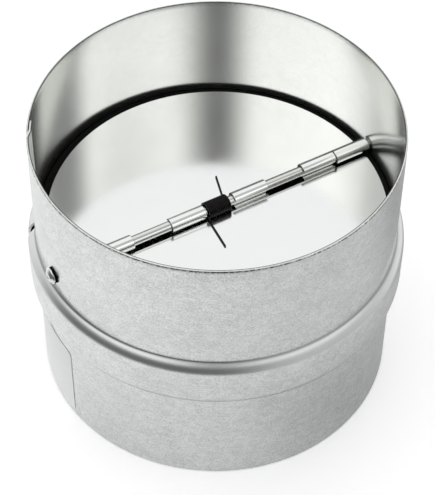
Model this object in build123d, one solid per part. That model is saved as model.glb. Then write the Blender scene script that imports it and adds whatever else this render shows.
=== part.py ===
# Backdraft damper for a round duct: a rolled sheet casing and two sprung half-disc blades on one axle
# Millimetres. Origin at the centre of the foot, +Z up and out of the outlet, axle along X
from math import atan2, cos, degrees, radians, sin, sqrt, tan
import os

from build123d import *

# Casing: one strip of galvanised sheet, rolled, lapped and beaded
spigot_diameter = 99.0
casing_sheet = 0.7
lower_spigot = 33.1
upper_spigot = 35.6
bead_flat = 13.7
bead_slope = 1.3
bead_rise = 2.2
bead_crease = 0.5  # outside radius of the two hollow folds
bead_bend = 3.9  # outside radius of the two raised folds
lap_azimuth = 152.0  # where the outer layer ends
lap_width = 3.5
lap_joggle = 3.0
lap_gap = 0.05
lap_bead_gap = 1.0

# Axle: a rod with a neck and a formed head at each end
axle_above_bead = 4.95
rod_diameter = 3.0
neck_diameter = 2.2
neck_clearance = 0.1
head_diameter = 5.0
head_height = 1.0
head_dimple = 0.9
washer_diameter = 4.6
washer_thickness = 0.4
seat_clearance = 0.05

# Blades: two equal pressings, each with three knuckles rolled round the axle
blade_sheet = 0.5
blade_gap = 2.15  # between the blade's edge and the casing's wall
knuckle_clearance = 0.1
knuckle_curl = 240.0
knuckle_length = 10.4
knuckle_spacing = 0.3
knuckle_end_gap = 1.1
knuckle_root = 1.0
blade_edge_gap = 0.2  # between a blade's straight edge and the other blade's knuckles
blade_corner = 1.2
blade_play = 0.5  # both blades lie this far along the axle

# Torsion spring: close-wound wire with one leg on each blade
wire_diameter = 0.5
wire_sides = 8
coil_diameter = 4.95
coil_turns = 13
coil_gap = 0.03
spring_bay = 9.2
front_leg = 12.6
front_leg_sweep = 0.8
rear_leg = 11.0
rear_leg_sweep = 2.6
leg_bend = 0.9

# Seal: a rubber ring seated in the bead, with a ledge under the blades
seal_clearance = 0.15
seal_ledge = 1.6  # how far the ledge reaches under the blades
seal_ledge_thickness = 1.8
seal_proud = 1.6  # how far the ring stands inside the casing's wall
seal_corner = 1.5  # radius of the ring's lower outer corner
seal_seat_gap = 0.1

# Label: a blank sticker on the lower spigot
label_width = 26.0
label_height = 26.5
label_bottom = 1.0
label_thickness = 0.1
label_glue = 0.05
label_corner = 2.0
label_from_lap = 1.5

# Worked out from the sizes above
spigot_radius = spigot_diameter / 2
bore_radius = spigot_radius - casing_sheet
bead_bottom = lower_spigot
flat_bottom = bead_bottom + bead_slope
flat_top = flat_bottom + bead_flat
bead_top = flat_top + bead_slope
casing_height = bead_top + upper_spigot
axle_height = bead_top + axle_above_bead
rod_radius = rod_diameter / 2
knuckle_inner = rod_radius + knuckle_clearance
knuckle_outer = knuckle_inner + blade_sheet
blade_radius = bore_radius - blade_gap
blade_setback = knuckle_outer + blade_edge_gap
seal_top = axle_height - knuckle_outer - seal_seat_gap


def around(length):
    """Degrees that a length takes up round the outside of the spigots."""
    return degrees(length / spigot_radius)


lap_start = lap_azimuth - around(lap_width)
joggle_end = lap_azimuth + around(lap_joggle)


def wall_line(depth, lower_rise=0.0):
    """The casing's outline from foot to rim, this deep below its outside, in the plane of radius and height."""
    rise = bead_rise - lower_rise
    mitre = depth * tan(atan2(rise, bead_slope) / 2)
    wall = spigot_radius - depth
    crease = bead_crease + depth
    bend = bead_bend - depth
    return FilletPolyline(
        (wall, 0),
        (wall, bead_bottom + mitre),
        (wall + rise, flat_bottom + mitre),
        (wall + rise, flat_top - mitre),
        (wall, bead_top - mitre),
        (wall, casing_height),
        radius=[crease, bend, bend, crease],
    )


def sheet_section(depth, lower_rise=0.0):
    """One layer of the casing's sheet, cut through at azimuth 0."""
    outside = wall_line(depth, lower_rise)
    inside = wall_line(depth + casing_sheet, lower_rise)
    rim = Line(outside @ 1, inside @ 1)
    foot = Line(outside @ 0, inside @ 0)
    return Plane.XZ * make_face([outside, rim, inside, foot])


def sector(section, start, sweep):
    """A section turned about the casing's axis."""
    return revolve(Rot(Z=start) * section, axis=Axis.Z, revolution_arc=sweep)


def make_casing():
    """The strip starts as the lap's inner layer, steps out, goes round and ends as the outer layer."""
    outer_layer = sheet_section(0)
    inner_layer = sheet_section(casing_sheet + lap_gap, lap_bead_gap)
    tube = sector(outer_layer, joggle_end, 360 - joggle_end + lap_azimuth)
    lap = sector(inner_layer, lap_start, lap_azimuth - lap_start)
    joggle = loft([Rot(Z=lap_azimuth) * inner_layer, Rot(Z=joggle_end) * outer_layer], ruled=True)
    axle_holes = Pos(0, 0, axle_height) * Rot(Y=90) * Cylinder(
        neck_diameter / 2 + neck_clearance, 2 * spigot_diameter
    )
    return tube + joggle + lap - axle_holes


def seal_section(depth, lower_rise=0.0):
    """The seal's section behind a wall of this depth, cut through at azimuth 0."""
    rise = bead_rise - lower_rise
    back = spigot_radius - depth
    mitre = depth * tan(atan2(rise, bead_slope) / 2)
    ledge = blade_radius - seal_ledge
    front = bore_radius - seal_proud
    outline = Polyline(
        (back, seal_top),
        (back, bead_top - mitre),
        (back + rise, flat_top - mitre),
        (back + rise, flat_bottom + mitre),
        (front, flat_bottom + mitre),
        (front, bead_top - mitre),
        (ledge, seal_top - seal_ledge_thickness),
        (ledge, seal_top),
        close=True,
    )
    section = make_face(outline)
    section = fillet(section.vertices().group_by(Axis.X)[-1].sort_by(Axis.Y)[-1], bead_bend - depth)
    return Plane.XZ * fillet(section.vertices().group_by(Axis.Y)[0].sort_by(Axis.X)[-1], seal_corner)


def make_seal_ring():
    """The ring is thinner where it passes the casing's lap."""
    plain = seal_section(casing_sheet + seal_clearance)
    thinner = seal_section(2 * casing_sheet + lap_gap + seal_clearance, lap_bead_gap)
    margin = around(seal_clearance)
    start = lap_start - margin
    end = joggle_end + margin
    return sector(plain, end, 360 - end + start) + sector(thinner, start, end - start)


def make_axle():
    """The rod's shoulders meet the wall inside, its necks pass through it and its heads hold the washers."""
    shoulder = sqrt(bore_radius**2 - rod_radius**2) - seat_clearance
    under_head = spigot_radius + washer_thickness + 2 * seat_clearance
    head_radius = head_diameter / 2
    outline = Polyline(
        (0, 0),
        (rod_radius, 0),
        (rod_radius, shoulder),
        (neck_diameter / 2, shoulder),
        (neck_diameter / 2, under_head),
        (head_radius, under_head),
        (head_radius, under_head + head_height / 3),
    )
    crown = under_head + head_height
    dome = RadiusArc(outline @ 1, (head_dimple, crown), -head_radius)
    dimple = Polyline(dome @ 1, (0, crown - head_dimple / 2), (0, 0))
    half = revolve(Plane.XZ * make_face([outline, dome, dimple]), axis=Axis.Z)
    rod = Rot(Y=90) * half + Rot(Y=-90) * half
    return Pos(0, 0, axle_height) * rod


def make_washer(side):
    """A washer on the neck, between the casing and the axle's head."""
    ring = Circle(washer_diameter / 2) - Circle(neck_diameter / 2 + neck_clearance)
    washer = extrude(ring, washer_thickness)
    return Pos(0, 0, axle_height) * Rot(Y=side * 90) * Pos(0, 0, spigot_radius + seat_clearance) * washer


def make_knuckle(start, length):
    """A tab of the blade's sheet that runs under the axle and curls back over it."""
    end_turn = radians(knuckle_curl - 90)
    half_turn = radians(knuckle_curl / 2 - 90)

    def curl(radius):
        return ThreePointArc(
            (0, -radius),
            (radius * cos(half_turn), radius * sin(half_turn)),
            (radius * cos(end_turn), radius * sin(end_turn)),
        )

    root = -blade_setback - knuckle_root
    outer = curl(knuckle_outer)
    inner = curl(knuckle_inner)
    under = Line((root, -knuckle_outer), outer @ 0)
    over = Line((root, -knuckle_inner), inner @ 0)
    lip = Line(outer @ 1, inner @ 1)
    back = Line(under @ 0, over @ 0)
    strip = Plane.YZ * make_face([under, outer, lip, inner, over, back])
    return Pos(start, 0, 0) * extrude(strip, length)


def make_blade():
    """The front blade, with the axle's middle as its origin."""
    corner = sqrt(blade_radius**2 - blade_setback**2)
    straight = Line((-corner, -blade_setback), (corner, -blade_setback))
    round_edge = ThreePointArc(straight @ 1, (0, -blade_radius), straight @ 0)
    half_disc = make_face([straight, round_edge])
    half_disc = fillet(half_disc.vertices(), blade_corner)
    blade = Pos(0, 0, -knuckle_outer) * extrude(half_disc, blade_sheet)
    end_knuckle = bore_radius - knuckle_end_gap - knuckle_length
    outer_knuckle = end_knuckle - knuckle_spacing - knuckle_length
    inner_knuckle = spring_bay / 2
    for start in (inner_knuckle, outer_knuckle, -end_knuckle - knuckle_length):
        blade += make_knuckle(start, knuckle_length)
    return blade


def make_torsion_spring():
    """One length of wire: the coil's ends run down beside the axle and bend out along the blades."""
    coil_radius = (coil_diameter - wire_diameter) / 2
    pitch = wire_diameter + coil_gap
    coil_length = pitch * (coil_turns + 0.5)
    leg_height = wire_diameter / 2 + seat_clearance - knuckle_inner
    start = Plane(origin=(-coil_length / 2, 0, 0), x_dir=(0, -1, 0), z_dir=(1, 0, 0))
    coil = start * Helix(pitch, coil_length, coil_radius, lefthand=True)
    drop = leg_height / (coil % 0).Z
    front_knee = coil @ 0 + (coil % 0) * drop
    rear_knee = coil @ 1 - (coil % 1) * drop
    front_tip = Vector(front_knee.X - front_leg_sweep, -front_leg, leg_height)
    rear_tip = Vector(rear_knee.X + rear_leg_sweep, rear_leg, leg_height)
    front = FilletPolyline(front_tip, front_knee, coil @ 0, radius=leg_bend)
    rear = FilletPolyline(coil @ 1, rear_knee, rear_tip, radius=leg_bend)
    path = Wire(front.edges() + coil.edges() + rear.edges())
    wire_end = Plane(origin=front_tip, z_dir=front % 0) * RegularPolygon(wire_diameter / 2, wire_sides)
    return Pos(0, 0, axle_height) * sweep(wire_end, path=path)


def make_label():
    """A thin sheet that follows the lower spigot, with rounded corners."""
    inside = spigot_radius + label_glue
    strip = Plane.XZ * Pos(inside, label_bottom) * Rectangle(
        label_thickness, label_height, align=(Align.MIN, Align.MIN)
    )
    label = sector(strip, joggle_end + around(label_from_lap), around(label_width))
    corners = label.edges().filter_by(GeomType.LINE).sort_by(SortBy.LENGTH)[:4]
    return fillet(corners, label_corner)


front_blade = make_blade()
at_axle = Pos(blade_play, 0, axle_height)
nodes = {
    "casing": make_casing(),
    "seal_ring": make_seal_ring(),
    "axle": make_axle(),
    "left_washer": make_washer(-1),
    "right_washer": make_washer(1),
    "front_blade": at_axle * front_blade,
    "rear_blade": at_axle * Rot(Z=180) * front_blade,
    "torsion_spring": make_torsion_spring(),
    "label": make_label(),
}

os.makedirs("parts", exist_ok=True)
for name, solid in nodes.items():
    export_step(solid, f"parts/{name}.step")
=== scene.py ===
from math import asin, atan2, cos, degrees, pi, radians, sin, sqrt, tan

import bmesh
import bpy
from mathutils import Matrix, Vector


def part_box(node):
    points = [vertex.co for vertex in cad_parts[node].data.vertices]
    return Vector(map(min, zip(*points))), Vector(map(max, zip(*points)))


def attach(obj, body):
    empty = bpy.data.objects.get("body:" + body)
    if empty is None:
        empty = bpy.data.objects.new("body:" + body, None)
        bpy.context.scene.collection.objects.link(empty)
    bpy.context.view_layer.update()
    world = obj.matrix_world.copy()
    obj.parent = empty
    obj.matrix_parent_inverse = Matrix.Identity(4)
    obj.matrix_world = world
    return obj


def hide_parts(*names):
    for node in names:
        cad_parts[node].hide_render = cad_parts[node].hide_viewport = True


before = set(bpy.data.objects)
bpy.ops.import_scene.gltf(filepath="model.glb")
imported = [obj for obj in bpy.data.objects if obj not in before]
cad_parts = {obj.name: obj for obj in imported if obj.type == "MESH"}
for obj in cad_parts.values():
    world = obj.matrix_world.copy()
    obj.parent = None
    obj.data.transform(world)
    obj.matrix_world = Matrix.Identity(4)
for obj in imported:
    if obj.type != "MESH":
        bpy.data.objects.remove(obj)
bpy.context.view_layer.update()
mm = 0.001  # pieces are drawn in millimetres and scaled to metres when they are placed


def solid_box(node):
    """Lowest and highest corner of a solid, in millimetres."""
    low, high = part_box(node)
    return low / mm, high / mm


# Sizes read from the solids, in millimetres
casing_high = solid_box("casing")[1]
seal_low, seal_high = solid_box("seal_ring")
axle_low, axle_high = solid_box("axle")
washer_low, washer_high = solid_box("right_washer")
blade_low, blade_high = solid_box("front_blade")
label_low, label_high = solid_box("label")
casing_height = casing_high.z
bead_radius = casing_high.x
axle_height = (axle_low.z + axle_high.z) / 2
head_radius = (axle_high.z - axle_low.z) / 2
head_end = axle_high.x
knuckle_outer = axle_height - blade_low.z
blade_radius = -blade_low.y

# Sizes that the solids' boxes don't give, in millimetres and degrees
sheet = 0.7
bead_rise = 2.2
bead_bottom = 33.1
bead_slope = 1.3
bead_flat = 13.7
bead_crease = 0.5
bead_bend = 3.9
lap_azimuth = 152.0
lap_width = 3.5
lap_joggle = 3.0
lap_gap = 0.05
lap_bead_gap = 1.0
cut_edge = 0.16  # how far the cut edges of the casing's sheet are rounded
rod_radius = 1.5
neck_radius = 1.1
shoulder_gap = 0.05
head_height = 1.0
dimple_radius = 0.9
blade_sheet = 0.5
blade_gap = 0.2
blade_corner = 1.2
blade_edge = 0.09  # how far the blades' punched edges are rounded
blade_play = 0.5
knuckle_curl = 240.0
knuckle_length = 10.4
knuckle_spacing = 0.3
knuckle_end_gap = 1.1
spring_bay = 9.2
wire_radius = 0.25
coil_radius = 2.225
coil_pitch = 0.53
coil_turns = 13.5
front_leg = 12.6
front_leg_sweep = 0.8
rear_leg = 11.0
rear_leg_sweep = 2.6
leg_bend = 0.9
leg_gap = 0.05
seal_ledge = 1.6
seal_ledge_thickness = 1.8
seal_proud = 1.6
seal_clearance = 0.15
seal_corner = 1.5
seal_edge = 0.25
label_corner = 2.0
label_glue = 0.05
label_thickness = 0.1
label_width = 26.0
label_from_lap = 1.5

# Worked out from the sizes above
spigot_radius = bead_radius - bead_rise
bore_radius = spigot_radius - sheet
flat_bottom = bead_bottom + bead_slope
flat_top = flat_bottom + bead_flat
bead_top = flat_top + bead_slope
lap_start = lap_azimuth - degrees(lap_width / spigot_radius)
joggle_end = lap_azimuth + degrees(lap_joggle / spigot_radius)
knuckle_inner = knuckle_outer - blade_sheet

# Settings that many nodes share, and the places of those sockets that have no name of their own
times = {"operation": "MULTIPLY"}
dot = {"operation": "DOT_PRODUCT"}
soft = {"interpolation_type": "SMOOTHSTEP"}
number = {"data_type": "FLOAT"}
number_a = 2
number_b = 3
tint = {"data_type": "RGBA"}
tint_a = 6
tint_b = 7
tint_out = 2
tint_range = {"data_type": "FLOAT_VECTOR"}
range_dark = 9
range_pale = 10
noise_middle = {7: (0.3,) * 3, 8: (0.7,) * 3}


def linear(colour):
    """An sRGB hex colour as linear red, green, blue and alpha."""
    channels = [int(colour[i:i + 2], 16) / 255 for i in (1, 3, 5)]
    return [c / 12.92 if c <= 0.04045 else ((c + 0.055) / 1.055) ** 2.4 for c in channels] + [1.0]


def add(tree, kind, settings=None, links=None):
    """Adds a node with its settings. A link is a value or another node's socket."""
    made = tree.nodes.new(kind)
    for name, value in (settings or {}).items():
        setattr(made, name, value)
    for name, value in (links or {}).items():
        if isinstance(value, bpy.types.NodeSocket):
            tree.links.new(value, made.inputs[name])
        else:
            made.inputs[name].default_value = value
    return made


# Shapes

def rounded(corners, radii, steps=6):
    """A line through the corners, each but the first and last rounded to its radius."""
    line = [corners[0]]
    for before, corner, after, radius in zip(corners, corners[1:], corners[2:], radii):
        ahead = (corner - before).normalized()
        onward = (after - corner).normalized()
        turn = ahead.angle(onward)
        inward = (onward - ahead * ahead.dot(onward)).normalized()
        start = corner - ahead * radius * tan(turn / 2)
        for step in range(steps + 1):
            angle = turn * step / steps
            line.append(start + ahead * radius * sin(angle) + inward * radius * (1 - cos(angle)))
    return line + [corners[-1]]


def divided(line, longest=1.6):
    """The line with points added so that no stretch is longer than this."""
    points = []
    for here, there in zip(line, line[1:]):
        count = max(1, round((there - here).length / longest))
        points += [here.lerp(there, step / count) for step in range(count)]
    return points + [line[-1]]


def fold_corners(depth):
    """The casing's folds from bead bottom to top, this deep below its outside, as radius and height."""
    mitre = depth * tan(atan2(bead_rise, bead_slope) / 2)
    wall = spigot_radius - depth
    crest = bead_radius - depth
    return [
        Vector((wall, bead_bottom + mitre)),
        Vector((crest, flat_bottom + mitre)),
        Vector((crest, flat_top - mitre)),
        Vector((wall, bead_top - mitre)),
    ]


def casing_outline():
    """The closed section of the casing's sheet."""
    middle = Vector((spigot_radius - sheet / 2, 0))
    foot = Vector((spigot_radius, 0))
    rim = Vector((spigot_radius, casing_height))
    through = Vector((sheet, 0))
    corners = [middle, foot, *fold_corners(0), rim, rim - through]
    corners += [*reversed(fold_corners(sheet)), foot - through, middle]
    outside = [bead_crease, bead_bend, bead_bend, bead_crease]
    inside = [bead_crease + sheet, bead_bend - sheet, bead_bend - sheet, bead_crease + sheet]
    radii = [cut_edge, *outside, cut_edge, cut_edge, *inside, cut_edge]
    return divided(rounded(corners, radii))[:-1]


def seal_outline():
    """The closed section of the rubber ring, from the middle of its top."""
    depth = sheet + seal_clearance
    top = seal_high.z
    mitre = depth * tan(atan2(bead_rise, bead_slope) / 2)
    back = spigot_radius - depth
    ledge = blade_radius - seal_ledge
    front = bore_radius - seal_proud
    middle = Vector(((back + ledge) / 2, top))
    corners = [
        middle,
        Vector((back, top)),
        Vector((back, bead_top - mitre)),
        Vector((back + bead_rise, flat_top - mitre)),
        Vector((back + bead_rise, flat_bottom + mitre)),
        Vector((front, flat_bottom + mitre)),
        Vector((front, bead_top - mitre)),
        Vector((ledge, top - seal_ledge_thickness)),
        Vector((ledge, top)),
        middle,
    ]
    crest = bead_bend - depth
    radii = [seal_edge] * 2 + [crest, seal_corner] + [seal_edge] * 4
    return divided(rounded(corners, radii))[:-1]


def outline_mesh(name, outline):
    """A closed outline of radius and height as a loop of edges at azimuth 0."""
    mesh = bpy.data.meshes.new(name)
    count = len(outline)
    edges = [(i, (i + 1) % count) for i in range(count)]
    mesh.from_pydata([(p.x, 0, p.y) for p in outline], edges, [])
    return mesh


def roll_tree(material):
    """Geometry nodes that roll a section round the duct and step it inwards at the lap."""
    tree = bpy.data.node_groups.new("roll_section", "GeometryNodeTree")
    sockets = [("Section", "NodeSocketGeometry"), ("Stations", "NodeSocketInt")]
    sizes = [
        "Start", "Sweep", "Step from", "Step to", "Step depth", "Step at bead", "Follow from", "Radius",
    ]
    for name, kind in sockets + [(size, "NodeSocketFloat") for size in sizes]:
        tree.interface.new_socket(name, in_out="INPUT", socket_type=kind)
    tree.interface.new_socket("Piece", in_out="OUTPUT", socket_type="NodeSocketGeometry")
    given = add(tree, "NodeGroupInput").outputs

    position = add(tree, "GeometryNodeInputPosition").outputs[0]
    section = add(tree, "GeometryNodeMeshToCurve", {}, {"Mesh": given["Section"]})
    kept_section = add(
        tree, "GeometryNodeStoreNamedAttribute", {"data_type": "FLOAT_VECTOR"},
        {"Geometry": section.outputs[0], "Name": "section", "Value": position},
    )
    line = add(tree, "GeometryNodeCurvePrimitiveLine")
    stations = add(
        tree, "GeometryNodeResampleCurve", {"mode": "COUNT"},
        {"Curve": line.outputs[0], "Count": given["Stations"]},
    )
    share = add(tree, "GeometryNodeSplineParameter").outputs["Factor"]
    kept_share = add(
        tree, "GeometryNodeStoreNamedAttribute", {"data_type": "FLOAT"},
        {"Geometry": stations.outputs[0], "Name": "share", "Value": share},
    )
    swept = add(
        tree, "GeometryNodeCurveToMesh", {},
        {"Curve": kept_share.outputs[0], "Profile Curve": kept_section.outputs[0], "Fill Caps": True},
    )

    at = add(tree, "GeometryNodeInputNamedAttribute", {"data_type": "FLOAT_VECTOR"}, {"Name": "section"})
    place = add(tree, "ShaderNodeSeparateXYZ", {}, {0: at.outputs[0]}).outputs
    way = add(tree, "GeometryNodeInputNamedAttribute", {"data_type": "FLOAT"}, {"Name": "share"})
    angle = add(
        tree, "ShaderNodeMath", {"operation": "MULTIPLY_ADD"},
        {0: way.outputs[0], 1: given["Sweep"], 2: given["Start"]},
    ).outputs[0]
    sunk = add(
        tree, "ShaderNodeMapRange", soft,
        {
            "Value": angle, "From Min": given["Step from"], "From Max": given["Step to"],
            "To Min": 1.0, "To Max": 0.0,
        },
    ).outputs[0]
    rising = add(
        tree, "ShaderNodeMapRange", {},
        {"Value": place["Z"], "From Min": bead_bottom, "From Max": flat_bottom},
    ).outputs[0]
    falling = add(
        tree, "ShaderNodeMapRange", {},
        {"Value": place["Z"], "From Min": bead_top, "From Max": flat_top},
    ).outputs[0]
    on_bead = add(tree, "ShaderNodeMath", times, {0: rising, 1: falling}).outputs[0]
    depth = add(
        tree, "ShaderNodeMath", {"operation": "MULTIPLY_ADD"},
        {0: on_bead, 1: given["Step at bead"], 2: given["Step depth"]},
    ).outputs[0]
    follows = add(
        tree, "ShaderNodeMath", {"operation": "GREATER_THAN"},
        {0: place["X"], 1: given["Follow from"]},
    ).outputs[0]
    share_of_step = add(tree, "ShaderNodeMath", times, {0: sunk, 1: follows}).outputs[0]
    step = add(tree, "ShaderNodeMath", times, {0: depth, 1: share_of_step}).outputs[0]
    radius = add(tree, "ShaderNodeMath", {"operation": "SUBTRACT"}, {0: place["X"], 1: step}).outputs[0]
    across = add(tree, "ShaderNodeMath", {"operation": "COSINE"}, {0: angle}).outputs[0]
    along = add(tree, "ShaderNodeMath", {"operation": "SINE"}, {0: angle}).outputs[0]
    x = add(tree, "ShaderNodeMath", times, {0: radius, 1: across}).outputs[0]
    y = add(tree, "ShaderNodeMath", times, {0: radius, 1: along}).outputs[0]
    point = add(tree, "ShaderNodeCombineXYZ", {}, {"X": x, "Y": y, "Z": place["Z"]}).outputs[0]
    rolled = add(tree, "GeometryNodeSetPosition", {}, {"Geometry": swept.outputs[0], "Position": point})

    run = add(tree, "ShaderNodeMath", times, {0: angle, 1: given["Radius"]}).outputs[0]
    flat = add(tree, "ShaderNodeCombineXYZ", {}, {"X": run, "Y": place["Z"]}).outputs[0]
    mapped = add(
        tree, "GeometryNodeStoreNamedAttribute", {"data_type": "FLOAT2", "domain": "CORNER"},
        {"Geometry": rolled.outputs[0], "Name": "UVMap", "Value": flat},
    )
    real = add(tree, "GeometryNodeRealizeInstances", {}, {"Geometry": mapped.outputs[0]})
    finished = add(
        tree, "GeometryNodeSetMaterial", {}, {"Geometry": real.outputs[0], "Material": material}
    )
    add(tree, "NodeGroupOutput", {}, {"Piece": finished.outputs[0]})
    return tree


def coil_tree(material):
    """Geometry nodes that wind a wire into a close coil along Z."""
    tree = bpy.data.node_groups.new("wind_coil", "GeometryNodeTree")
    tree.interface.new_socket("Start", in_out="INPUT", socket_type="NodeSocketGeometry")
    for size in ("Turns", "Coil radius", "Length", "Wire radius"):
        tree.interface.new_socket(size, in_out="INPUT", socket_type="NodeSocketFloat")
    tree.interface.new_socket("Piece", in_out="OUTPUT", socket_type="NodeSocketGeometry")
    given = add(tree, "NodeGroupInput").outputs
    turns = add(
        tree, "GeometryNodeCurveSpiral", {},
        {
            "Resolution": 64, "Rotations": given["Turns"], "Start Radius": given["Coil radius"],
            "End Radius": given["Coil radius"], "Height": given["Length"], "Reverse": True,
        },
    )
    wire = add(
        tree, "GeometryNodeCurvePrimitiveCircle", {}, {"Resolution": 16, "Radius": given["Wire radius"]}
    )
    wound = add(
        tree, "GeometryNodeCurveToMesh", {},
        {"Curve": turns.outputs[0], "Profile Curve": wire.outputs[0], "Fill Caps": True},
    )
    real = add(tree, "GeometryNodeRealizeInstances", {}, {"Geometry": wound.outputs[0]})
    finished = add(
        tree, "GeometryNodeSetMaterial", {}, {"Geometry": real.outputs[0], "Material": material}
    )
    add(tree, "NodeGroupOutput", {}, {"Piece": finished.outputs[0]})
    return tree


def grown(name, tree, start, sizes):
    """The plain mesh that a tree makes from a start mesh."""
    maker = bpy.data.objects.new(name, start)
    bpy.context.scene.collection.objects.link(maker)
    modifier = maker.modifiers.new(name, "NODES")
    modifier.node_group = tree
    identifiers = {item.name: item.identifier for item in tree.interface.items_tree}
    for size, value in sizes.items():
        modifier[identifiers[size]] = value
    mesh = plain(maker)
    maker.modifiers.remove(modifier)
    bpy.data.objects.remove(maker)
    return mesh


def plain(maker):
    """An object's mesh with its modifiers applied."""
    bpy.context.view_layer.update()
    graph = bpy.context.evaluated_depsgraph_get()
    finished = maker.evaluated_get(graph)
    return bpy.data.meshes.new_from_object(finished, preserve_all_data_layers=True, depsgraph=graph)


def turned(outline, segments):
    """A closed solid turned about the X axis from points of place along X and radius."""
    shape = bmesh.new()
    rings = []
    for p in outline:
        ring = []
        for i in range(segments if p.y > 0 else 1):
            angle = 2 * pi * i / segments
            ring.append(shape.verts.new((p.x, p.y * cos(angle), p.y * sin(angle))))
        rings.append(ring)
    for here, there in zip(rings, rings[1:]):
        for i in range(segments):
            j = (i + 1) % segments
            corners = [
                here[i % len(here)], here[j % len(here)], there[j % len(there)], there[i % len(there)],
            ]
            shape.faces.new(list(dict.fromkeys(corners)))
    return shape


def place(name, shape, material, body, slot, *stands_for, smooth_below=35.0):
    """Makes a finished piece of a mesh or bmesh drawn in millimetres."""
    if isinstance(shape, bpy.types.Mesh):
        mesh = shape
        shape = bmesh.new()
        shape.from_mesh(mesh)
    bmesh.ops.remove_doubles(shape, verts=shape.verts, dist=1e-5)
    bmesh.ops.recalc_face_normals(shape, faces=shape.faces)
    mesh = bpy.data.meshes.new(name)
    shape.to_mesh(mesh)
    shape.free()
    mesh.transform(Matrix.Scale(mm, 4))
    mesh.materials.clear()
    mesh.materials.append(material)
    mesh.shade_smooth()
    mesh.set_sharp_from_angle(angle=radians(smooth_below))
    piece = bpy.data.objects.new(name, mesh)
    bpy.context.scene.collection.objects.link(piece)
    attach(piece, body)
    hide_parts(*stands_for)
    return piece


# Finishes

def blank_material(name):
    """A material and its empty node tree."""
    material = bpy.data.materials.new(name)
    material.use_nodes = True
    material.node_tree.nodes.clear()
    return material, material.node_tree


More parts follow.
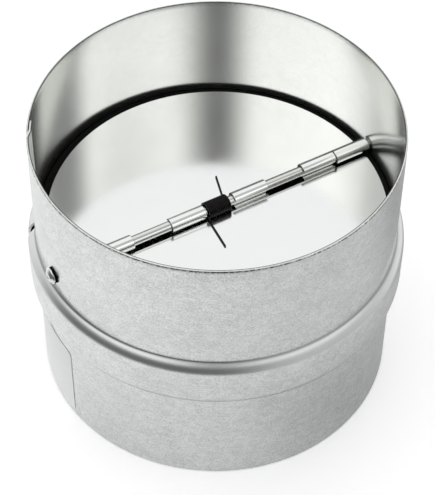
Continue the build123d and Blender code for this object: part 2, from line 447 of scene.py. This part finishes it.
def galvanised_steel():
    """Hot-dip zinc on rolled sheet: satin grey metal, mottled by fine crystals and long faint lines."""
    material, tree = blank_material("galvanised_steel")
    # Sizes in millimetres, then how strongly each pattern shows
    crystal = 1.3
    grain = 0.5
    patch = 9.0
    line_length = 30.0
    line_width = 0.6
    mark = 0.9
    crystal_share = 0.16
    patch_share = 0.26
    line_share = 0.2
    darkest = 0.57
    palest = 1.05
    clean_share = 0.2
    shoulder_roughness = 0.36
    flat = add(tree, "ShaderNodeUVMap", {"uv_map": "UVMap"}).outputs[0]
    crystals = add(tree, "ShaderNodeTexVoronoi", {}, {"Vector": flat, "Scale": 1 / crystal})
    tone = add(tree, "ShaderNodeSeparateColor", {}, {"Color": crystals.outputs["Color"]}).outputs[0]
    fine = add(
        tree, "ShaderNodeTexNoise", {}, {"Vector": flat, "Scale": 1 / grain, "Detail": 3.0}
    ).outputs[0]
    broad = add(
        tree, "ShaderNodeTexNoise", {}, {"Vector": flat, "Scale": 1 / patch, "Detail": 5.0}
    ).outputs[0]
    stretched = add(
        tree, "ShaderNodeMapping", {}, {"Vector": flat, "Scale": (1 / line_length, 1 / line_width, 1.0)}
    ).outputs[0]
    lines = add(
        tree, "ShaderNodeTexNoise", {}, {"Vector": stretched, "Scale": 1.0, "Detail": 3.0}
    ).outputs[0]
    mottle = fine
    for pattern, share in ((tone, crystal_share), (broad, patch_share), (lines, line_share)):
        mottle = add(
            tree, "ShaderNodeMath", {"operation": "MULTIPLY_ADD"}, {0: pattern, 1: share, 2: mottle}
        ).outputs[0]
    mottle = add(
        tree, "ShaderNodeMapRange", {}, {"Value": mottle, "From Min": darkest, "From Max": palest}
    ).outputs[0]
    # The inside is cleaner than the outside, which has been handled
    section = add(tree, "ShaderNodeAttribute", {"attribute_name": "section"}).outputs["Vector"]
    in_section = add(tree, "ShaderNodeSeparateXYZ", {}, {0: section}).outputs
    radius = in_section["X"]
    height = in_section["Z"]
    handled = add(
        tree, "ShaderNodeMapRange", {},
        {
            "Value": radius, "From Min": bore_radius + 0.3 * sheet,
            "From Max": spigot_radius - 0.3 * sheet, "To Min": clean_share,
        },
    ).outputs[0]
    # Rolling the bead stretched the zinc on its upper shoulder, which is even and duller; its tone there
    # is painted darker, a painted dark reflection
    over = add(
        tree, "ShaderNodeMapRange", {},
        {"Value": height, "From Min": flat_top - 2.2, "From Max": flat_top - 1.2},
    ).outputs[0]
    under = add(
        tree, "ShaderNodeMapRange", {},
        {"Value": height, "From Min": bead_top + 0.3, "From Max": bead_top, "To Max": 0.85},
    ).outputs[0]
    rolled = add(tree, "ShaderNodeMath", times, {0: over, 1: under}).outputs[0]
    unrolled = add(tree, "ShaderNodeMath", {"operation": "SUBTRACT"}, {0: 1.0, 1: rolled}).outputs[0]
    shown = add(tree, "ShaderNodeMath", times, {0: handled, 1: unrolled}).outputs[0]
    # The shoulder's mottle is held low and even, so its tone is painted darker: a painted dark reflection
    even = add(tree, "ShaderNodeMix", number, {0: rolled, number_a: 0.5, number_b: 0.1}).outputs[0]
    mottle = add(tree, "ShaderNodeMix", number, {0: shown, number_a: even, number_b: mottle}).outputs[0]
    outside = add(
        tree, "ShaderNodeMix", tint, {0: mottle, tint_a: linear("#C3C6C4"), tint_b: linear("#ECEEED")}
    ).outputs[tint_out]
    inside = add(
        tree, "ShaderNodeMix", tint, {0: mottle, tint_a: linear("#C8C8C3"), tint_b: linear("#EAEAE6")}
    ).outputs[tint_out]
    colour = add(
        tree, "ShaderNodeMix", tint, {0: handled, tint_a: inside, tint_b: outside}
    ).outputs[tint_out]
    # Painted shade: the bead's upper crease and the lower part of its lower bend are painted darker
    for middle, reach, amount in ((bead_top, 0.35, 0.55), (flat_bottom - 0.2, 2.0, 0.5)):
        off = add(tree, "ShaderNodeMath", {"operation": "SUBTRACT"}, {0: height, 1: middle}).outputs[0]
        off = add(tree, "ShaderNodeMath", {"operation": "ABSOLUTE"}, {0: off}).outputs[0]
        painted_bead_shade = add(
            tree, "ShaderNodeMapRange", soft,
            {"Value": off, "From Min": reach, "From Max": reach / 4, "To Max": amount},
        ).outputs[0]
        painted_bead_shade = add(tree, "ShaderNodeMath", times, {0: painted_bead_shade, 1: handled}).outputs[0]
        colour = add(
            tree, "ShaderNodeMix", tint, {0: painted_bead_shade, tint_a: colour, tint_b: linear("#5E615F")}
        ).outputs[tint_out]
    # A dotted line just below the rim's outer edge, where the shear pressed the sheet
    below = add(
        tree, "ShaderNodeMapRange", {},
        {"Value": height, "From Min": casing_height - 0.6, "From Max": casing_height - 0.45},
    ).outputs[0]
    above = add(
        tree, "ShaderNodeMapRange", {},
        {"Value": height, "From Min": casing_height - 0.02, "From Max": casing_height - 0.12},
    ).outputs[0]
    spots = add(
        tree, "ShaderNodeTexNoise", {}, {"Vector": flat, "Scale": 1 / mark, "Detail": 1.0}
    ).outputs[0]
    line = add(
        tree, "ShaderNodeMapRange", {},
        {"Value": spots, "From Min": 0.42, "From Max": 0.55, "To Min": 0.15},
    ).outputs[0]
    for mask in (below, above, handled):
        line = add(tree, "ShaderNodeMath", times, {0: line, 1: mask}).outputs[0]
    colour = add(
        tree, "ShaderNodeMix", tint, {0: line, tint_a: colour, tint_b: linear("#4E514E")}
    ).outputs[tint_out]
    # The inner corner of the rim's cut edge is coloured dark
    cut = add(
        tree, "ShaderNodeMapRange", {},
        {"Value": height, "From Min": casing_height - 0.14, "From Max": casing_height - 0.08},
    ).outputs[0]
    corner = add(
        tree, "ShaderNodeMapRange", {},
        {"Value": radius, "From Min": bore_radius + 0.3, "From Max": bore_radius + 0.2},
    ).outputs[0]
    darkened_edge = add(tree, "ShaderNodeMath", times, {0: cut, 1: corner}).outputs[0]
    colour = add(
        tree, "ShaderNodeMix", tint, {0: darkened_edge, tint_a: colour, tint_b: linear("#4A4C4A")}
    ).outputs[tint_out]
    rough = add(
        tree, "ShaderNodeMapRange", {}, {"Value": mottle, "To Min": 0.22, "To Max": 0.18}
    ).outputs[0]
    rough = add(
        tree, "ShaderNodeMix", number, {0: rolled, number_a: rough, number_b: shoulder_roughness}
    ).outputs[0]
    bump = add(
        tree, "ShaderNodeBump", {}, {"Strength": 0.012, "Distance": 0.1 * mm, "Height": fine}
    ).outputs[0]
    shader = add(
        tree, "ShaderNodeBsdfPrincipled", {},
        {"Base Color": colour, "Metallic": 1.0, "Roughness": rough, "Normal": bump},
    )
    add(tree, "ShaderNodeOutputMaterial", {}, {"Surface": shader.outputs[0]})
    return material


def bright_aluminium():
    """Bright rolled aluminium: almost a mirror, blurred a little by the rolls, with a very fine grain."""
    material, tree = blank_material("bright_rolled_aluminium")
    grain = 0.35  # mm, coarser than the rolls leave it, so that it shows
    cloud = 9.0
    coordinates = add(tree, "ShaderNodeTexCoord").outputs
    at = coordinates["Object"]
    fine = add(
        tree, "ShaderNodeTexNoise", {}, {"Vector": at, "Scale": 1 / (grain * mm), "Detail": 2.0}
    ).outputs[0]
    broad = add(
        tree, "ShaderNodeTexNoise", {}, {"Vector": at, "Scale": 1 / (cloud * mm), "Detail": 3.0}
    ).outputs[0]
    rough = add(
        tree, "ShaderNodeMapRange", {},
        {"Value": broad, "From Min": 0.3, "From Max": 0.7, "To Min": 0.11, "To Max": 0.17},
    ).outputs[0]
    colour = add(
        tree, "ShaderNodeMapRange", tint_range,
        {
            "Vector": fine, **noise_middle,
            range_dark: linear("#EFF1F0")[:3], range_pale: linear("#F3F5F4")[:3],
        },
    ).outputs["Vector"]
    # The knuckles' cut ends face along X and are painted dark, a painted shade for the narrow gaps
    # between the knuckles
    along = add(tree, "ShaderNodeSeparateXYZ", {}, {0: coordinates["Normal"]}).outputs["X"]
    along = add(tree, "ShaderNodeMath", {"operation": "ABSOLUTE"}, {0: along}).outputs[0]
    end = add(
        tree, "ShaderNodeMapRange", {}, {"Value": along, "From Min": 0.5, "From Max": 0.8}
    ).outputs[0]
    across = add(tree, "ShaderNodeSeparateXYZ", {}, {0: at}).outputs["Y"]
    across = add(tree, "ShaderNodeMath", {"operation": "ABSOLUTE"}, {0: across}).outputs[0]
    by_axle = add(
        tree, "ShaderNodeMath", {"operation": "LESS_THAN"}, {0: across, 1: knuckle_outer * 1.1 * mm}
    ).outputs[0]
    # Painted shade on the knuckles' ends
    darkened_edge = add(tree, "ShaderNodeMath", times, {0: end, 1: by_axle}).outputs[0]
    colour = add(
        tree, "ShaderNodeMix", tint, {0: darkened_edge, tint_a: colour, tint_b: linear("#3A3B3A")}
    ).outputs[tint_out]
    bump = add(
        tree, "ShaderNodeBump", {}, {"Strength": 0.006, "Distance": 0.1 * mm, "Height": fine}
    ).outputs[0]
    shader = add(
        tree, "ShaderNodeBsdfPrincipled", {},
        {"Base Color": colour, "Metallic": 1.0, "Roughness": rough, "Normal": bump},
    )
    add(tree, "ShaderNodeOutputMaterial", {}, {"Surface": shader.outputs[0]})
    return material


def drawn_steel():
    """Bright drawn steel rod: a clear shine with fine drawing lines along X."""
    material, tree = blank_material("bright_drawn_steel")
    line_length = 20.0  # mm
    line_width = 0.25  # coarser than real drawing lines, so that they show
    at = add(tree, "ShaderNodeTexCoord").outputs["Object"]
    stretched = add(
        tree, "ShaderNodeMapping", {},
        {"Vector": at, "Scale": (1 / (line_length * mm), 1 / (line_width * mm), 1 / (line_width * mm))},
    ).outputs[0]
    lines = add(
        tree, "ShaderNodeTexNoise", {}, {"Vector": stretched, "Scale": 1.0, "Detail": 2.0}
    ).outputs[0]
    rough = add(
        tree, "ShaderNodeMapRange", {},
        {"Value": lines, "From Min": 0.3, "From Max": 0.7, "To Min": 0.14, "To Max": 0.24},
    ).outputs[0]
    colour = add(
        tree, "ShaderNodeMapRange", tint_range,
        {
            "Vector": lines, **noise_middle,
            range_dark: linear("#D2D3D1")[:3], range_pale: linear("#E6E7E5")[:3],
        },
    ).outputs["Vector"]
    shader = add(
        tree, "ShaderNodeBsdfPrincipled", {},
        {"Base Color": colour, "Metallic": 1.0, "Roughness": rough},
    )
    add(tree, "ShaderNodeOutputMaterial", {}, {"Surface": shader.outputs[0]})
    return material


def plain_finish(name, grain, dark, pale, surface, detail):
    """A finish whose tone wanders between two colours, over grains this many millimetres across."""
    material, tree = blank_material(name)
    at = add(tree, "ShaderNodeTexCoord").outputs["Object"]
    pattern = add(
        tree, "ShaderNodeTexNoise", {}, {"Vector": at, "Scale": 1 / (grain * mm), "Detail": detail}
    ).outputs[0]
    colour = add(
        tree, "ShaderNodeMapRange", tint_range,
        {
            "Vector": pattern, **noise_middle,
            range_dark: linear(dark)[:3], range_pale: linear(pale)[:3],
        },
    ).outputs["Vector"]
    shader = add(tree, "ShaderNodeBsdfPrincipled", {}, {"Base Color": colour, **surface})
    add(tree, "ShaderNodeOutputMaterial", {}, {"Surface": shader.outputs[0]})
    return material


def black_rubber():
    """Moulded EPDM rubber: matt black with a faint bloom."""
    bloom = 2.5  # mm
    surface = {"Roughness": 0.75, "Specular IOR Level": 0.12}
    return plain_finish("moulded_black_rubber", bloom, "#0A0A0A", "#121211", surface, detail=4.0)


def black_wire():
    """Blackened spring wire: an oiled black oxide skin with a low shine."""
    speck = 0.4  # mm
    surface = {"Roughness": 0.3, "Specular IOR Level": 0.22}
    return plain_finish("black_oxide_spring_wire", speck, "#060606", "#0E0E0D", surface, detail=2.0)


def label_film():
    """Matt white polyester film: an even pale surface with a low, soft shine."""
    fibre = 0.5  # mm
    surface = {"Roughness": 0.45}
    return plain_finish("matt_label_film", fibre, "#F0F2F2", "#F6F7F7", surface, detail=3.0)


# Pieces

def make_casing(material):
    """The strip starts as the lap's inner layer, steps out, goes round and ends as the outer layer."""
    mesh = grown(
        "casing_sheet", roll_tree(material), outline_mesh("casing_section", casing_outline()),
        {
            "Stations": 541, "Start": radians(lap_start), "Sweep": radians(360 + lap_azimuth - lap_start),
            "Step from": radians(lap_azimuth), "Step to": radians(joggle_end),
            "Step depth": sheet + lap_gap, "Step at bead": lap_bead_gap,
            "Follow from": 0.0, "Radius": spigot_radius,
        },
    )
    return place("casing_sheet", mesh, material, "casing", "galvanised_sheet", "casing")


def make_seal(material):
    """The rubber ring, thinner at its back where it passes the lap."""
    margin = degrees(seal_clearance / spigot_radius)
    mesh = grown(
        "seal", roll_tree(material), outline_mesh("seal_section", seal_outline()),
        {
            "Stations": 361, "Start": radians(lap_start - margin), "Sweep": radians(360),
            "Step from": radians(joggle_end + margin), "Step to": radians(joggle_end + 2 * margin),
            "Step depth": sheet + lap_gap, "Step at bead": lap_bead_gap,
            "Follow from": bore_radius - seal_proud / 2, "Radius": spigot_radius,
        },
    )
    return place("rubber_seal", mesh, material, "casing", "black_rubber", "seal_ring")


def make_axle(material):
    """The rod, its necks through the wall and its domed heads, each with a dimple."""
    shoulder = sqrt(bore_radius**2 - rod_radius**2) - shoulder_gap
    under_head = head_end - head_height
    corners = [
        Vector((0, rod_radius)),
        Vector((shoulder, rod_radius)),
        Vector((shoulder, neck_radius)),
        Vector((under_head, neck_radius)),
        Vector((under_head, head_radius)),
        Vector((under_head + head_height / 3, head_radius)),
        Vector((head_end, dimple_radius * 1.5)),
        Vector((head_end, dimple_radius)),
        Vector((head_end - dimple_radius / 2, 0)),
    ]
    edge = 0.12
    fillet = 0.05
    dome = 0.55
    crown = 0.3
    half = rounded(corners, [edge, fillet, fillet, edge, dome, crown, edge])
    other = [Vector((-p.x, p.y)) for p in reversed(half[1:])]
    rod = turned(other + half, segments=48)
    bmesh.ops.translate(rod, verts=rod.verts, vec=(0, 0, axle_height))
    return place("axle_rod", rod, material, "casing", "bright_steel", "axle")


def make_washers(material):
    """A black washer under each head of the axle."""
    washer_radius = (washer_high.z - washer_low.z) / 2
    hole = neck_radius + 0.1
    thickness = washer_high.x - washer_low.x
    edge = 0.15
    for side, name in ((-1, "left_washer"), (1, "right_washer")):
        near = washer_low.x * side
        far = near + thickness * side
        corners = [
            Vector((near, hole)),
            Vector((near, washer_radius)),
            Vector((far, washer_radius)),
            Vector((far, hole)),
        ]
        ring = turned(rounded(corners, [edge, edge]) + [corners[0]], segments=40)
        bmesh.ops.translate(ring, verts=ring.verts, vec=(0, 0, axle_height))
        place("washer_" + name.split("_")[0], ring, material, "casing", "black_washer", name)


def blade_shape():
    """The front blade about the axle's middle: a flat half disc whose three tabs curl round the axle."""
    setback = knuckle_outer + blade_gap
    end = bore_radius - knuckle_end_gap - knuckle_length
    outer = end - knuckle_spacing - knuckle_length
    inner = spring_bay / 2
    tabs = [(start, start + knuckle_length) for start in (-end - knuckle_length, inner, outer)]
    root = setback + 1.0  # where the end tab's outer side meets the round edge

    corner_y = -setback - blade_corner
    corner_x = sqrt((blade_radius - blade_corner) ** 2 - corner_y**2)
    corner_turn = atan2(corner_y, corner_x)
    edge_from = asin(root / blade_radius) - pi
    outline = []
    arc_steps = 180
    for step in range(arc_steps + 1):
        angle = edge_from + (corner_turn - edge_from) * step / arc_steps
        outline.append((blade_radius * cos(angle), blade_radius * sin(angle)))
    corner_steps = 6
    for step in range(1, corner_steps + 1):
        angle = corner_turn + (pi / 2 - corner_turn) * step / corner_steps
        outline.append((corner_x + blade_corner * cos(angle), corner_y + blade_corner * sin(angle)))
    for left, right in reversed(tabs[1:]):
        outline += [(right, -setback), (right, 0), (left, 0), (left, -setback)]
    left, right = tabs[0]
    outline += [(right, -setback), (right, 0), (left, 0), (left, -root)]

    shape = bmesh.new()
    low, high = -knuckle_outer, -knuckle_inner
    bottom = [shape.verts.new((x, y, low)) for x, y in outline]
    top = [shape.verts.new((x, y, high)) for x, y in outline]
    shape.faces.new(bottom)
    shape.faces.new(top)
    count = len(outline)
    for i in range(count):
        j = (i + 1) % count
        if outline[i][1] == 0 and outline[j][1] == 0:
            curl(shape, [bottom[i], bottom[j], top[j], top[i]])
        else:
            shape.faces.new([bottom[i], bottom[j], top[j], top[i]])
    return shape


def curl(shape, ring):
    """Carries a tab's end round the axle."""
    steps = 44
    for step in range(1, steps + 1):
        turn = Matrix.Rotation(radians(knuckle_curl) / steps, 3, "X")
        onward = [shape.verts.new(turn @ v.co) for v in ring]
        for k in range(4):
            m = (k + 1) % 4
            shape.faces.new([ring[k], ring[m], onward[m], onward[k]])
        ring = onward
    shape.faces.new(ring)


def make_blades(material):
    """Two equal pressings, one turned half a turn about the casing's axis."""
    for name, turn in (("front_blade", 0), ("rear_blade", pi)):
        shape = blade_shape()
        bmesh.ops.recalc_face_normals(shape, faces=shape.faces)
        seat = Matrix.Translation((blade_play, 0, axle_height)) @ Matrix.Rotation(turn, 4, "Z")
        shape.transform(seat)
        mesh = bpy.data.meshes.new(name)
        shape.to_mesh(mesh)
        shape.free()
        maker = bpy.data.objects.new(name + "_maker", mesh)
        bpy.context.scene.collection.objects.link(maker)
        edges = maker.modifiers.new("punched_edges", "BEVEL")
        edges.width = blade_edge
        edges.segments = 2
        edges.limit_method = "ANGLE"
        edges.angle_limit = radians(50)
        finished = plain(maker)
        bpy.data.objects.remove(maker)
        place(name + "_pressing", finished, material, name, "bright_aluminium", name, smooth_below=20.0)


def make_spring(material):
    """The coil stays on the axle, and each leg goes with the blade that it presses on."""
    length = coil_pitch * coil_turns
    mesh = grown(
        "spring_coil", coil_tree(material), bpy.data.meshes.new("coil_start"),
        {"Turns": coil_turns, "Coil radius": coil_radius, "Length": length, "Wire radius": wire_radius},
    )
    along_axle = Matrix(((0, 0, 1, -length / 2), (-1, 0, 0, 0), (0, -1, 0, 0), (0, 0, 0, 1)))
    mesh.transform(Matrix.Translation((0, 0, axle_height)) @ along_axle)
    place("spring_coil", mesh, material, "casing", "black_spring_wire", "torsion_spring")

    leg_height = wire_radius + leg_gap - knuckle_inner
    lean = coil_pitch / (2 * pi * coil_radius) * leg_height
    front_start = Vector((-length / 2, -coil_radius, 0))
    front_knee = Vector((-length / 2 + lean, -coil_radius, leg_height))
    front_tip = Vector((front_knee.x - front_leg_sweep, -front_leg, leg_height))
    rear_start = Vector((length / 2, coil_radius, 0))
    rear_knee = Vector((length / 2 - lean, coil_radius, leg_height))
    rear_tip = Vector((rear_knee.x + rear_leg_sweep, rear_leg, leg_height))
    legs = {
        "front_blade": rounded([front_start, front_knee, front_tip], [leg_bend], steps=12),
        "rear_blade": rounded([rear_start, rear_knee, rear_tip], [leg_bend], steps=12),
    }
    for body, line in legs.items():
        name = "spring_leg_" + body.split("_")[0]
        path = bpy.data.curves.new(name, "CURVE")
        path.dimensions = "3D"
        path.bevel_depth = wire_radius
        path.bevel_resolution = 5
        path.use_fill_caps = True
        spline = path.splines.new("POLY")
        spline.points.add(len(line) - 1)
        for point, co in zip(spline.points, line):
            point.co = (co.x, co.y, co.z + axle_height, 1)
        maker = bpy.data.objects.new(name + "_maker", path)
        bpy.context.scene.collection.objects.link(maker)
        leg = plain(maker)
        bpy.data.objects.remove(maker)
        place(name, leg, material, body, "black_spring_wire")


def make_label(material):
    """A blank sticker that follows the lower spigot, with rounded corners."""
    start = joggle_end + degrees(label_from_lap / spigot_radius)
    width = label_width
    height = label_high.z - label_low.z
    corners = [(0, height / 2), (0, 0), (width, 0), (width, height), (0, height), (0, height / 2)]
    outline = rounded([Vector(c) for c in corners], [label_corner] * 4, steps=8)[:-1]
    shape = bmesh.new()
    shape.faces.new([shape.verts.new((p.x, 0, p.y)) for p in outline])
    cuts = 40
    for k in range(1, cuts):
        geometry = shape.verts[:] + shape.edges[:] + shape.faces[:]
        cut = (width * k / cuts, 0, 0)
        bmesh.ops.bisect_plane(shape, geom=geometry, plane_co=cut, plane_no=(1, 0, 0))
    skin = bmesh.ops.extrude_face_region(shape, geom=shape.faces[:])["geom"]
    bmesh.ops.translate(
        shape, verts=[v for v in skin if isinstance(v, bmesh.types.BMVert)], vec=(0, label_thickness, 0)
    )
    for v in shape.verts:
        angle = radians(start) + v.co.x / spigot_radius
        radius = spigot_radius + label_glue + v.co.y
        v.co = (radius * cos(angle), radius * sin(angle), v.co.z + label_low.z)
    return place("blank_label", shape, material, "casing", "label_film", "label")


# Stage

photo_azimuth = -30.4
photo_elevation = 48.77


def direction(azimuth, elevation):
    """Unit vector from the object to a place this far round from the camera and this high, in degrees."""
    a = radians(azimuth + photo_azimuth)
    e = radians(elevation)
    return Vector((sin(a) * cos(e), -cos(a) * cos(e), sin(e)))


def make_floor():
    """A plain pale floor under the foot."""
    floor_radius = 140
    floor_drop = 0.05  # below the foot, so that the two don't share a plane
    mirrored_glow = 0.16
    seen_glow = 0.28
    shape = bmesh.new()
    bmesh.ops.create_circle(shape, cap_ends=True, segments=96, radius=floor_radius * mm)
    mesh = bpy.data.meshes.new("floor")
    shape.to_mesh(mesh)
    shape.free()
    material, tree = blank_material("white_paper_floor")
    at = add(tree, "ShaderNodeTexCoord").outputs["Object"]
    across = add(tree, "ShaderNodeVectorMath", dot, {0: at, 1: direction(90, 0)}).outputs["Value"]
    ahead = add(tree, "ShaderNodeVectorMath", dot, {0: at, 1: direction(0, 0)}).outputs["Value"]
    out = add(tree, "ShaderNodeVectorMath", {"operation": "LENGTH"}, {0: at}).outputs["Value"]
    # The floor's tone is painted paler at the left and darker at the right, near the foot and behind it:
    # painted shade, as if the light came more from the left
    fall_off = add(
        tree, "ShaderNodeMapRange", {},
        {"Value": across, "From Min": -90 * mm, "From Max": 100 * mm, "To Min": 1.0, "To Max": 0.73},
    ).outputs[0]
    right = add(
        tree, "ShaderNodeMapRange", soft, {"Value": across, "From Min": 0.0, "From Max": 50 * mm}
    ).outputs[0]
    near = add(
        tree, "ShaderNodeMapRange", soft,
        {"Value": out, "From Min": 95 * mm, "From Max": 55 * mm, "To Max": 0.28},
    ).outputs[0]
    behind = add(
        tree, "ShaderNodeMapRange", soft,
        {"Value": ahead, "From Min": 30 * mm, "From Max": -50 * mm, "To Max": 0.42},
    ).outputs[0]
    shade = add(tree, "ShaderNodeMath", {"operation": "MAXIMUM"}, {0: near, 1: behind}).outputs[0]
    shade = add(tree, "ShaderNodeMath", times, {0: shade, 1: right}).outputs[0]
    light = add(tree, "ShaderNodeMath", {"operation": "SUBTRACT"}, {0: 1.0, 1: shade}).outputs[0]
    fall_off = add(tree, "ShaderNodeMath", times, {0: fall_off, 1: light}).outputs[0]
    # Seen directly the floor is white, and the painted fall-off and shade show only in what the metal
    # mirrors
    seen = add(tree, "ShaderNodeLightPath").outputs["Is Camera Ray"]
    tone = add(tree, "ShaderNodeMix", number, {0: seen, number_a: fall_off, number_b: 1.0}).outputs[0]
    paper = add(tree, "ShaderNodeBsdfDiffuse", {}, {"Color": tone})
    # The floor also glows a little: painted light, which in what the metal mirrors carries the painted
    # fall-off
    mirrored = add(tree, "ShaderNodeMath", times, {0: fall_off, 1: mirrored_glow}).outputs[0]
    lift = add(
        tree, "ShaderNodeMix", number, {0: seen, number_a: mirrored, number_b: seen_glow}
    ).outputs[0]
    # Inside the casing it doesn't glow, so the slots between the blades stay dark
    around = add(
        tree, "ShaderNodeMapRange", {}, {"Value": out, "From Min": 48.5 * mm, "From Max": 50 * mm}
    ).outputs[0]
    lift = add(tree, "ShaderNodeMath", times, {0: lift, 1: around}).outputs[0]
    glow = add(tree, "ShaderNodeEmission", {}, {"Strength": lift})
    shader = add(tree, "ShaderNodeAddShader", {}, {0: paper.outputs[0], 1: glow.outputs[0]})
    add(tree, "ShaderNodeOutputMaterial", {}, {"Surface": shader.outputs[0]})
    mesh.materials.append(material)
    floor = bpy.data.objects.new("floor", mesh)
    floor.location.z = -floor_drop * mm
    bpy.context.scene.collection.objects.link(floor)


def make_studio():
    """A white tent with soft boxes at both sides and a dark room behind the camera."""
    world = bpy.data.worlds.new("studio")
    bpy.context.scene.world = world
    world.use_nodes = True
    tree = world.node_tree
    tree.nodes.clear()
    towards = add(tree, "ShaderNodeTexCoord").outputs["Generated"]
    level = 1.2
    seen_level = 1.1
    # Azimuth from the camera, elevation, inner and outer half angle in degrees, and the light it adds
    soft_boxes = [
        (-75, 6, 20, 50, 0.15),
        (-55, 42, 16, 40, 0.42),
        (58, 42, 16, 34, 0.32),
    ]
    # The same, with the share of the light it takes
    dark_cards = [
        (122, 38, 9, 26, 0.72),
        (-130, 46, 6, 16, 0.3),
        (180, 50, 20, 40, 0.18),
        (66, 68, 14, 26, 0.6),
        (-62, 70, 12, 26, 0.2),
    ]
    for patches, adds_light in ((soft_boxes, True), (dark_cards, False)):
        for azimuth, elevation, inner, outer, amount in patches:
            nearness = add(
                tree, "ShaderNodeVectorMath", dot, {0: towards, 1: direction(azimuth, elevation)}
            ).outputs["Value"]
            share = add(
                tree, "ShaderNodeMapRange", soft,
                {
                    "Value": nearness, "From Min": cos(radians(outer)), "From Max": cos(radians(inner)),
                    "To Max": amount,
                },
            ).outputs[0]
            if adds_light:
                level = add(tree, "ShaderNodeMath", {"operation": "ADD"}, {0: level, 1: share}).outputs[0]
            else:
                left = add(
                    tree, "ShaderNodeMath", {"operation": "SUBTRACT"}, {0: 1.0, 1: share}
                ).outputs[0]
                level = add(tree, "ShaderNodeMath", times, {0: level, 1: left}).outputs[0]
    # The room behind the camera is dark up to about 40 degrees above the horizon, less so at the right
    height = add(tree, "ShaderNodeSeparateXYZ", {}, {0: towards}).outputs["Z"]
    ahead = add(tree, "ShaderNodeVectorMath", dot, {0: towards, 1: direction(0, 0)}).outputs["Value"]
    aside = add(tree, "ShaderNodeVectorMath", dot, {0: towards, 1: direction(90, 0)}).outputs["Value"]
    low = add(
        tree, "ShaderNodeMapRange", soft,
        {"Value": height, "From Min": sin(radians(41.5)), "From Max": sin(radians(24)), "To Max": 0.88},
    ).outputs[0]
    facing = add(
        tree, "ShaderNodeMapRange", soft,
        {"Value": ahead, "From Min": cos(radians(125)), "From Max": cos(radians(80))},
    ).outputs[0]
    one_side = add(
        tree, "ShaderNodeMapRange", soft,
        {"Value": aside, "From Min": 0.1, "From Max": 0.6, "To Min": 1.0, "To Max": 0.45},
    ).outputs[0]
    room = add(tree, "ShaderNodeMath", times, {0: low, 1: facing}).outputs[0]
    room = add(tree, "ShaderNodeMath", times, {0: room, 1: one_side}).outputs[0]
    # A dark upright strip stands behind the camera
    off_middle = add(tree, "ShaderNodeMath", {"operation": "ABSOLUTE"}, {0: aside}).outputs[0]
    narrow = add(
        tree, "ShaderNodeMapRange", soft,
        {"Value": off_middle, "From Min": sin(radians(19)), "From Max": sin(radians(1)), "To Max": 0.82},
    ).outputs[0]
    tall = add(
        tree, "ShaderNodeMapRange", soft,
        {"Value": height, "From Min": sin(radians(84)), "From Max": sin(radians(72))},
    ).outputs[0]
    before = add(
        tree, "ShaderNodeMapRange", {}, {"Value": ahead, "From Min": 0.0, "From Max": 0.2}
    ).outputs[0]
    strip = add(tree, "ShaderNodeMath", times, {0: narrow, 1: tall}).outputs[0]
    strip = add(tree, "ShaderNodeMath", times, {0: strip, 1: before}).outputs[0]
    dark = add(tree, "ShaderNodeMath", {"operation": "MAXIMUM"}, {0: room, 1: strip}).outputs[0]
    left = add(tree, "ShaderNodeMath", {"operation": "SUBTRACT"}, {0: 1.0, 1: dark}).outputs[0]
    level = add(tree, "ShaderNodeMath", times, {0: level, 1: left}).outputs[0]
    # Seen directly the background is plain white
    seen = add(tree, "ShaderNodeLightPath").outputs["Is Camera Ray"]
    strength = add(
        tree, "ShaderNodeMix", number, {0: seen, number_a: level, number_b: seen_level}
    ).outputs[0]
    light = add(tree, "ShaderNodeBackground", {}, {"Color": linear("#FFFFFF"), "Strength": strength})
    add(tree, "ShaderNodeOutputWorld", {}, {"Surface": light.outputs[0]})


def make_camera():
    """The photograph's own place: high in front, looking down into the outlet."""
    focal_pixels = 1767.0
    frame_height = 495
    roll = radians(0.69)
    distance = 493.7
    target = Vector((0.39, -0.23, 37.5))
    back = direction(0, photo_elevation)
    a = radians(photo_azimuth)
    level_right = Vector((cos(a), sin(a), 0))
    level_up = back.cross(level_right)
    right = level_right * cos(roll) + level_up * sin(roll)
    up = level_up * cos(roll) - level_right * sin(roll)
    lens = bpy.data.cameras.new("camera")
    lens.sensor_width = 36
    lens.lens = lens.sensor_width * focal_pixels / frame_height
    camera = bpy.data.objects.new("camera", lens)
    turn = Matrix((right, up, back)).transposed().to_4x4()
    camera.matrix_world = Matrix.Translation((target + back * distance) * mm) @ turn
    bpy.context.scene.collection.objects.link(camera)
    bpy.context.scene.camera = camera


zinc = galvanised_steel()
aluminium = bright_aluminium()
steel = drawn_steel()
rubber = black_rubber()
wire = black_wire()
film = label_film()
make_casing(zinc)
make_seal(rubber)
make_axle(steel)
make_washers(rubber)
make_blades(aluminium)
make_spring(wire)
make_label(film)
make_floor()
make_studio()
make_camera()
bpy.context.scene.view_settings.view_transform = "Standard"
